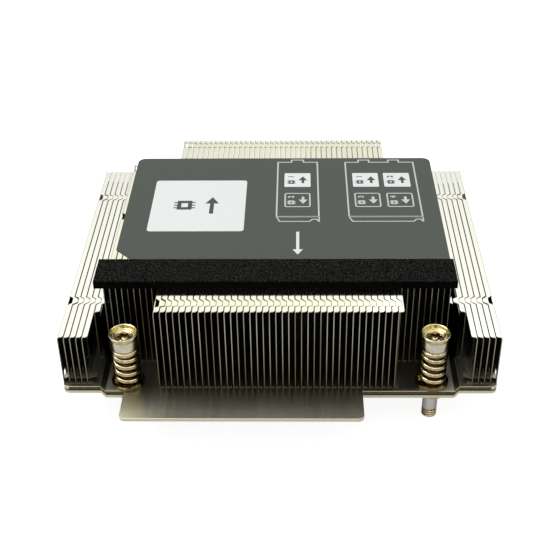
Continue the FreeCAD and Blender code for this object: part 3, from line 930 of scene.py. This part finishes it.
# %% Make the label film
label_low, label_high = box_mm("top_label")
CUT, FRONT_CORNER, REAR_CORNER = 7.6, 0.6, 2.3
film_outline = rounded(
    [(label_low.x + CUT, label_low.y), (label_high.x, label_low.y), (label_high.x, label_high.y),
     (label_low.x, label_high.y), (label_low.x, label_low.y + CUT)],
    [0, FRONT_CORNER, REAR_CORNER, REAR_CORNER, 0],
)
label = slab("label_sheet", [[film_outline]], label_low.z, label_high.z - label_low.z, True)
settle(label, "root", "label", [label_finish], "top_label")


# %% [markdown]
# The print is drawn on a grid of its own, whose unit is a little over a millimetre, and moved to
# the label at the end. A line is a closed band: an outline and the same outline moved inwards by
# the line's width.


# %% Helpers for the print
GRID, GRID_X, GRID_Y = 1.0417, 54.21, 41.05
LINE, LIP_LINE, SHARPEST = 0.42, 0.36, 0.2


def printed(x, y):
    """From the print's own grid to millimetres on the label."""
    return ((x - GRID_X) * GRID, (y - GRID_Y) * GRID)


def inset(loop, width):
    """The outline moved inwards by a width; the outline runs counter-clockwise."""
    moved = []
    for i, here in enumerate(loop):
        here = Vector(here)
        into = (here - Vector(loop[i - 1])).normalized()
        away = (Vector(loop[(i + 1) % len(loop)]) - here).normalized()
        left_in, left_out = Vector((-into.y, into.x)), Vector((-away.y, away.x))
        diagonal = left_in + left_out
        moved.append(tuple(here + diagonal * width / max(diagonal.dot(left_in), SHARPEST)))
    return moved


def ink_layer(name, groups, height, material):
    """Thin raised ink in the places that the groups of outlines enclose."""
    on_label = [[[printed(*corner) for corner in loop] for loop in loops] for loops in groups]
    settle(slab(name, on_label, label_high.z, height), "root", "label", [material])


def band(loop, width=LINE):
    return [loop, inset(loop, width)]


def soft_box(left, front, right, rear, radius):
    return rounded(rectangle(left, front, right, rear), [radius] * 4, steps=4)


print("a print line is", round(LINE * GRID, 2), "mm wide")

# %% [markdown]
# Two trays are outlined. Each has tabs at its rear edge, a double line in front whose left end
# slants, and a small hook at its right. Filled boxes stand for the rear sockets and outlined
# ones for the front sockets. A box holds a number, a tiny chip sign, and an arrow to the rear
# or to the front.


# %% Draw the trays and their boxes
TRAY_FRONT, TAB_DEPTH = 43.6, 1.35


def tray(left, right, rear, tabs):
    """Outline of one tray with tabs at its rear edge."""
    loop = [(left, TRAY_FRONT), (right, TRAY_FRONT), (right, rear)]
    for tab_left, tab_right in reversed(tabs):
        loop += [(tab_right, rear), (tab_right, rear + TAB_DEPTH), (tab_left, rear + TAB_DEPTH),
                 (tab_left, rear)]
    return loop + [(left, rear)]


def tray_front(left, right):
    """The lip in front of a tray, as one closed band."""
    lip = [(left, 43.8), (left + 0.95, 41.1), (right - 2.7, 41.1), (right - 1.9, 42.2),
           (right - 1.0, 42.2), (right - 0.4, 41.1), (right, 41.1), (right, 43.8)]
    return band(lip, LIP_LINE)


def chip(x, y, half, window=0.45):
    """A chip with a light middle, a little longer than wide, and legs at its left and right."""
    tall = half * 1.15
    shapes = [[rectangle(x - half, y - tall, x + half, y + tall),
               rectangle(x - half * window, y - tall * window, x + half * window,
                         y + tall * window)]]
    for sign in (-1, 1):
        for row in (-0.6, 0, 0.6):
            near, far = sorted((x + sign * half, x + sign * half * 1.45))
            width = half * 0.12
            shapes.append([rectangle(near, y + row * tall - width, far, y + row * tall + width)])
    return shapes


def arrow(x, y, size, way, stem=0.0):
    """A plain arrow head to the rear (1) or the front (-1), with a stem behind it if asked."""
    back = y - way * size * 0.8
    loop = [(x - size, back), (x - size * 0.3, back), (x - size * 0.3, back - way * stem),
            (x + size * 0.3, back - way * stem), (x + size * 0.3, back), (x + size, back),
            (x, y + way * size)]
    if not stem:
        loop = [loop[0], loop[5], loop[6]]
    return [loop if way > 0 else loop[::-1]]


REAR_BOXES = [(55.0, 62.5), (74.6, 82.0), (83.5, 91.0)]
FRONT_BOXES = [(55.1, 62.4), (74.7, 82.0), (83.7, 91.1)]
white_groups = [[soft_box(18.3, 36.4, 44.3, 63.6, 0.9)], arrow(58.8, 26.5, 1.35, -1, 8.5)]
line_groups = [band(tray(52.8, 64.8, 74.6, [(56.8, 60.7)])), tray_front(52.8, 64.8),
               band(tray(72.6, 93.0, 74.5, [(76.5, 80.0), (85.3, 88.8)])), tray_front(72.6, 93.0)]
dark_groups = chip(27.4, 49.9, 2.05) + [arrow(35.0, 52.3, 1.9, 1, 5.4)]
for left, right in REAR_BOXES:
    white_groups.append([soft_box(left, 59.9, right, 67.8, 0.35)])
    dark_groups += chip(left + 2.0, 62.6, 0.85, 0.35)
    dark_groups.append(arrow(left + 5.3, 64.6, 1.25, 1, 1.6))
for left, right in FRONT_BOXES:
    line_groups.append(band(soft_box(left, 48.8, right, 56.4, 0.7), 0.4))
    line_groups += chip(left + 1.9, 51.3, 0.85, 0.35)
    line_groups.append(arrow(left + 5.2, 51.8, 1.25, -1, 1.6))
print(len(white_groups), "white,", len(line_groups), "line and", len(dark_groups), "dark shapes")


# %% Lay the ink on the label
def number_groups(text, x, y, size):
    """A numeral, turned a quarter like the rest of the print, as outlines on the print's grid."""
    curve = bpy.data.curves.new("numeral", "FONT")
    curve.body, curve.size, curve.offset = text, 1.0, 0.03
    curve.align_x, curve.align_y = "CENTER", "CENTER"
    carrier = in_scene("numeral", curve)
    mesh = as_seen(carrier)
    bpy.data.objects.remove(carrier)
    shapes = []
    for face in mesh.polygons:
        flat = [mesh.vertices[i].co for i in face.vertices]
        shapes.append([[(x - size * spot.y, y + size * spot.x) for spot in flat]])
    return shapes


NUMBER_SIZE, INK, SECOND_INK = 2.3, 0.02, 0.035
for number, (left, _) in zip("112", REAR_BOXES):
    dark_groups += number_groups(number, left + 2.0, 65.7, NUMBER_SIZE)
for number, (left, _) in zip("234", FRONT_BOXES):
    line_groups += number_groups(number, left + 1.9, 54.3, NUMBER_SIZE)
ink_layer("white_print", white_groups, INK, white_ink)
ink_layer("line_print", line_groups, INK, line_ink)
ink_layer("dark_print", dark_groups, SECOND_INK, dark_ink)

# %% [markdown]
# ## Turned pieces
#
# A captive screw is turned on a lathe, so its shape is a list of rings. The same rings can do
# more: if a ring's radius depends on the angle, six lobes make the driver's recess, and if it
# also depends on the height, a helical ridge makes the thread. The mesh runs from the middle of
# the tip round the outside to the middle of the recess, and is closed at both poles.


# %% A lathe whose rings may vary with angle
SEGMENTS = 72


def lathe(name, rings, centre, closed=False):
    """Rings are (radius, height, finish of the band above). Radius and finish may depend on the
    angle, and closed joins the last ring to the first."""
    drawing = bmesh.new()
    made = []
    for radius, height, _ in rings:
        if radius == 0:
            made.append([drawing.verts.new((centre[0], centre[1], height))])
            continue
        ring = []
        for i in range(SEGMENTS):
            angle = 2 * math.pi * i / SEGMENTS
            reach = radius(angle) if callable(radius) else radius
            ring.append(drawing.verts.new((centre[0] + reach * math.cos(angle),
                                           centre[1] + reach * math.sin(angle), height)))
        made.append(ring)
    after = made[1:] + made[:1] if closed else made[1:]
    for low, high, (_, _, finish) in zip(made, after, rings):
        for i in range(SEGMENTS):
            j = (i + 1) % SEGMENTS
            corners = [low[i % len(low)], low[j % len(low)], high[j % len(high)],
                       high[i % len(high)]]
            corners = list(dict.fromkeys(corners))
            around = 2 * math.pi * (i + 0.5) / SEGMENTS
            chosen = finish(around) if callable(finish) else finish
            drawing.faces.new(corners).material_index = chosen
    return mesh_object(name, drawing)


THREAD_PITCH, THREAD_ROOT, THREAD_DEPTH = 0.75, 1.58, 0.41
CREST, DARK_BELOW = 1.5, 0.6
GOLD, PALE_AND_HIGHLIGHT, BRASS, PAINTED_SHADE, SHANK = range(5)


def ridge(height, angle):
    """0 in the groove of the thread and 1 on its ridge."""
    phase = (height / THREAD_PITCH - angle / (2 * math.pi)) % 1
    return min(1, CREST * (1 - abs(2 * phase - 1)))


def thread_ring(height):
    return lambda angle: THREAD_ROOT + THREAD_DEPTH * ridge(height, angle)


def thread_finish(height):
    """The bottom of the groove gets a painted shade, the ridge is brass."""
    return lambda angle: PAINTED_SHADE if ridge(height, angle) < DARK_BELOW else BRASS


def lobes(outer, inner):
    """Radius of the driver's six-lobed recess."""
    middle, swing = (outer + inner) / 2, (outer - inner) / 2
    return lambda angle: middle + swing * math.cos(6 * angle)


print("the thread swings between", THREAD_ROOT, "and", THREAD_ROOT + THREAD_DEPTH, "mm")

# %% [markdown]
# The head is a cup: a rolled golden rim, a pale collar, and a shallow bowl with the six-lobed
# recess in its floor. The shank is plain where it passes the base, but for the groove that the
# retaining ring sits in, and the thread starts below the contact face. A dark plating paints shade
# into the recess, the thread's grooves, a narrow groove under the head and the shank inside the
# spring, and the pale finish paints highlights on the rim's top edge and the bowl's floor.

# %% Make the four screws
PLACES = ("front_left", "front_right", "rear_left", "rear_right")
HEAD_HEIGHT, THREAD_END, THREAD_STEPS, CHAMFER = 4.65, -2.3, 40, 0.35


def screw_rings(low, high):
    """From the tip up the outside, over the rim and down into the recess."""
    rings = [(0, low, BRASS), (1.35, low, BRASS)]
    for step in range(THREAD_STEPS + 1):
        height = low + CHAMFER + (THREAD_END - low - CHAMFER) * step / THREAD_STEPS
        rings.append((thread_ring(height), height, thread_finish(height)))
    head = high - HEAD_HEIGHT
    # Bands of the dark finish are painted shade; bands of the pale finish on the rim's top edge and
    # the bowl's floor are painted highlights.
    rings += [(1.7, THREAD_END + 0.1, SHANK), (1.98, THREAD_END + 0.35, SHANK),
              (1.98, 3.05, SHANK), (1.6, 3.15, PALE_AND_HIGHLIGHT), (1.6, 3.95, PALE_AND_HIGHLIGHT), (1.98, 4.05, PAINTED_SHADE),
              (1.98, head, PAINTED_SHADE), (3.2, head, GOLD), (3.38, head + 0.12, PALE_AND_HIGHLIGHT),
              (3.38, head + 0.3, PAINTED_SHADE), (3.3, head + 0.42, PALE_AND_HIGHLIGHT), (3.44, head + 0.55, PALE_AND_HIGHLIGHT),
              (3.47, head + 0.8, PALE_AND_HIGHLIGHT), (3.47, head + 3.1, PALE_AND_HIGHLIGHT), (3.42, head + 3.22, GOLD),
              (3.62, head + 3.34, GOLD), (3.78, head + 3.6, GOLD), (3.84, head + 4.0, GOLD),
              (3.84, head + 4.3, GOLD), (3.76, high - 0.1, PALE_AND_HIGHLIGHT), (3.64, high, PALE_AND_HIGHLIGHT),
              (3.52, high - 0.02, GOLD), (3.38, high - 0.12, GOLD), (3.28, high - 0.4, GOLD),
              (3.08, high - 0.95, GOLD), (2.96, high - 1.03, PALE_AND_HIGHLIGHT), (2.82, high - 1.03, GOLD),
              (2.70, high - 1.2, GOLD), (2.52, high - 1.36, PALE_AND_HIGHLIGHT), (2.3, high - 1.4, PALE_AND_HIGHLIGHT),
              (lobes(2.02, 1.42), high - 1.4, GOLD), (lobes(1.94, 1.34), high - 1.55, PAINTED_SHADE),
              (lobes(1.86, 1.26), high - 2.6, PAINTED_SHADE), (lobes(1.5, 0.95), high - 2.75, PALE_AND_HIGHLIGHT),
              (0, high - 2.8, PALE_AND_HIGHLIGHT)]
    return rings


for place in PLACES:
    low, high = box_mm(f"{place}_screw")
    middle = (low + high) / 2
    screw = lathe(f"{place}_cup_screw", screw_rings(low.z, high.z), middle)
    settle(screw, f"{place}_screw_body", "screw",
           [screw_gold, pale_plating_and_highlight, thread_brass, shade_plating, shank_pale], f"{place}_screw")

# %% [markdown]
# ## Washers and retaining rings
#
# Each spring stands on a thick washer with rounded edges, another turned piece. Its section is a
# closed loop, so the last ring joins the first, and it is a little wider than its solid. The
# retaining ring below the base is a flat clip that is right as a plain solid, so it stays and
# only gets its finish.


# %% Make the washers and finish the rings
WASHER_BORE, WASHER_EXTRA, WASHER_EASE, EDGE_CUT = 2.2, 0.2, 0.12, 0.04


def washer_rings(low, high, outer):
    """Round the section, from the bore's lower edge outwards, up and back."""
    bore, ease, cut = WASHER_BORE, WASHER_EASE, EDGE_CUT
    lower = [(bore, ease), (bore + ease, 0), (outer - ease, 0), (outer - cut, cut), (outer, ease)]
    upper = [(radius, high - rise, 0) for radius, rise in reversed(lower)]
    return [(radius, low + rise, 0) for radius, rise in lower] + upper


for place in PLACES:
    low, high = box_mm(f"{place}_washer")
    rings = washer_rings(low.z, high.z, (high.x - low.x) / 2 + WASHER_EXTRA)
    piece = lathe(f"{place}_flat_washer", rings, (low + high) / 2, closed=True)
    settle(piece, "root", "screw", [washer_shaded_plating], f"{place}_washer")
    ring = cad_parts[f"{place}_retaining_ring"]
    ring.data.materials.clear()
    ring.data.materials.append(spring_metal)

# %% [markdown]
# ## Springs with Geometry Nodes
#
# A compression spring is a circle of wire swept along a helix whose first and last part of a
# turn lie level, so that it stands flat. The tree takes a spiral, levels its ends with a clamped
# range, turns it to where the wire starts, and sweeps it. These springs are left-handed, as a
# spiral is while its Reverse input is off.


# %% Build the spring tree
def spring_tree():
    tree, sockets, given = new_tree("Closed spring", {
        "Turns": "Float", "Coil radius": "Float", "Wire": "Float", "Rise": "Float",
        "Closed share": "Float", "Centre": "Vector", "Start angle": "Float",
        "Finish": "Material"})
    spiral = add_node(tree, "GeometryNodeCurveSpiral", {
        "Resolution": 40, "Rotations": given["Turns"], "Start Radius": given["Coil radius"],
        "End Radius": given["Coil radius"], "Height": 1, "Reverse": False})
    place = add_node(tree, "GeometryNodeInputPosition").outputs[0]
    parts = add_node(tree, "ShaderNodeSeparateXYZ", {0: place}).outputs
    risen = climb(tree, parts["Z"], given["Closed share"],
                  math_node(tree, "SUBTRACT", 1, given["Closed share"]), 0, given["Rise"])
    spot = add_node(tree, "ShaderNodeCombineXYZ", {"X": parts["X"], "Y": parts["Y"], "Z": risen})
    coil = add_node(tree, "GeometryNodeSetPosition",
                    {"Geometry": spiral.outputs["Curve"], "Position": spot.outputs[0]})
    turn = add_node(tree, "ShaderNodeCombineXYZ", {"Z": given["Start angle"]})
    put = add_node(tree, "GeometryNodeTransform", {
        "Geometry": coil.outputs["Geometry"], "Translation": given["Centre"],
        "Rotation": turn.outputs[0]})
    circle = add_node(tree, "GeometryNodeCurvePrimitiveCircle", {
        "Resolution": 16, "Radius": math_node(tree, "MULTIPLY", given["Wire"], 0.5)})
    sweep = add_node(tree, "GeometryNodeCurveToMesh", {
        "Curve": put.outputs["Geometry"], "Profile Curve": circle.outputs["Curve"],
        "Fill Caps": True})
    end_tree(tree, sweep.outputs["Mesh"], given["Finish"])
    return tree, sockets


coil_tree, coil_sockets = spring_tree()
print("the spring tree has", len(coil_tree.nodes), "nodes")

# %% [markdown]
# When a screw is pushed down, its spring gets shorter. Each spring stays with the base and fills
# the room between its washer and the screw's head.

# %% Make the springs
WIRE, COIL_RADIUS, TURNS, CLOSED, END_GAP = 1.2, 3.05, 5.0, 0.42, 0.03
START_ANGLES = {"front_left": 205, "front_right": 176, "rear_left": 60, "rear_right": 300}

for place in PLACES:
    seat = box_mm(f"{place}_washer")[1].z
    screw_low, screw_high = box_mm(f"{place}_screw")
    room = screw_high.z - HEAD_HEIGHT - seat
    centre = (screw_low + screw_high) / 2
    spring = grown(f"{place}_coil_spring", coil_tree, coil_sockets, {
        "Turns": TURNS, "Coil radius": COIL_RADIUS * MM, "Wire": WIRE * MM,
        "Rise": (room - WIRE - 2 * END_GAP) * MM, "Closed share": CLOSED / TURNS,
        "Centre": [centre.x * MM, centre.y * MM, (seat + WIRE / 2 + END_GAP) * MM],
        "Start angle": math.radians(START_ANGLES[place]), "Finish": spring_metal,
    })
    spring.data.shade_smooth()
    spring.data.set_sharp_from_angle(angle=math.radians(60))
    settle(spring, "root", "spring", [spring_metal], f"{place}_spring")
    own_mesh(spring)

# %% [markdown]
# ## Floor, light and camera
#
# The object stands on its screw tips on a pale floor. The world is plain soft light. The camera
# sees it white. Reflections see it dark near the horizon and white overhead, and everything else
# gets a calmer level, so the background is white without washing out the object. Two large lamps
# add the direction that makes the folds readable.


# %% World and floor
def lit_background(tree, plain, shown, output):
    """Mixes a plain light for the scene with another for what is seen directly or mirrored."""
    path = add_node(tree, "ShaderNodeLightPath").outputs
    seen = larger(tree, path["Is Camera Ray"],
                  larger(tree, path["Is Glossy Ray"], path["Is Transmission Ray"]))
    mix = add_node(tree, "ShaderNodeMixShader", {"Fac": seen, 1: plain, 2: shown})
    set_inputs(tree, tree.nodes[output], {"Surface": mix.outputs[0]})


WHITE, GREY = (1, 1, 1), (0.5, 0.5, 0.5)
PLAIN_LIGHT, FLOOR_SEEN, FLOOR_GLOW = 0.45, 0.76, 0.12
FLOOR_HALF_WIDTH, FLOOR_GAP = 3000, 0.05

world = bpy.data.worlds.new("soft studio")
bpy.context.scene.world = world
world.use_nodes = True
tree = world.node_tree
plain_light = tree.nodes["Background"]
set_inputs(tree, plain_light, {"Color": WHITE, "Strength": PLAIN_LIGHT})
overhead = climb(tree, along(tree, "Generated", "Z"), 0.15, 0.60, 0.04, 1.12,
                 interpolation_type="SMOOTHSTEP")
seen = add_node(tree, "ShaderNodeLightPath").outputs["Is Camera Ray"]
white = add_node(tree, "ShaderNodeBackground",
                 {"Color": WHITE, "Strength": larger(tree, seen, overhead)})
lit_background(tree, plain_light.outputs[0], white.outputs[0], "World Output")

floor_level = cad_low.z / MM - FLOOR_GAP
drawing = bmesh.new()
bmesh.ops.create_grid(drawing, x_segments=1, y_segments=1, size=FLOOR_HALF_WIDTH)
for point in drawing.verts:
    point.co.z = floor_level
floor = mesh_object("studio_floor", drawing, smooth=False)
paper, tree, sheet = new_finish("pale paper", GREY, 0.0, 0.9)
seen = add_node(tree, "ShaderNodeLightPath").outputs["Is Camera Ray"]
glow = add_node(tree, "ShaderNodeEmission", {
    "Strength": math_node(tree, "MULTIPLY_ADD", seen, FLOOR_SEEN, FLOOR_GLOW)})
bright = add_node(tree, "ShaderNodeAddShader", {0: sheet.outputs[0], 1: glow.outputs[0]})
lit_background(tree, sheet.outputs[0], bright.outputs[0], "Material Output")
floor.data.materials.append(paper)
floor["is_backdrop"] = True
print("floor at", round(floor_level, 2), "mm")

# %% [markdown]
# Lamps are areas much larger than the object, so their reflections in the metal are broad and
# their shadows soft.


# %% Lamps
def area_lamp(name, spot, size, power):
    light = bpy.data.lights.new(name, "AREA")
    light.shape, light.size, light.energy = "SQUARE", size, power
    lamp = in_scene(name, light)
    lamp.location = spot
    lamp.rotation_euler = (-Vector(spot)).to_track_quat("-Z", "Y").to_euler()


area_lamp("key light", (-0.40, 0.05, 0.75), 0.5, 3.6)
area_lamp("rear light", (0.25, 0.45, 0.80), 0.6, 0.6)
print("two lamps")

# %% [markdown]
# The photograph was taken from in front and 35 degrees above, about 0.3 metres away. Its
# horizon is turned by less than a degree.

# %% Camera
IMAGE_WIDTH, FOCAL_PIXELS, SENSOR_WIDTH = 560, 1058.08, 36.0
CAMERA_PLACE = (0.00485, -0.25346, 0.18873)
pitch_down, swing, roll = (math.radians(angle) for angle in (35.05, -1.19, -0.73))
camera_data = bpy.data.cameras.new("view")
camera_data.sensor_width = SENSOR_WIDTH
camera_data.lens = SENSOR_WIDTH * FOCAL_PIXELS / IMAGE_WIDTH
camera_data.clip_start, camera_data.clip_end = 0.01, 20
camera = in_scene("view", camera_data)
ahead = Vector((math.sin(swing) * math.cos(pitch_down), math.cos(swing) * math.cos(pitch_down),
                -math.sin(pitch_down)))
level_right = Vector((math.cos(swing), -math.sin(swing), 0))
level_up = level_right.cross(ahead)
right = level_right * math.cos(roll) + level_up * math.sin(roll)
up = level_up * math.cos(roll) - level_right * math.sin(roll)
turn = Matrix((right, up, -ahead)).transposed().to_4x4()
camera.matrix_world = Matrix.Translation(CAMERA_PLACE) @ turn
bpy.context.scene.camera = camera
bpy.context.scene.view_settings.view_transform = "Standard"
print("lens", round(camera_data.lens, 1), "mm")

# %% [markdown]
# ## Sizes, and the end
#
# The visual model is meant to be as large as the solid one. The last line prints the visual
# model's size in millimetres.

# %% Write the sizes and finish
low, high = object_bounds()
print("visual model, mm:", [round(part / MM, 2) for part in high - low])
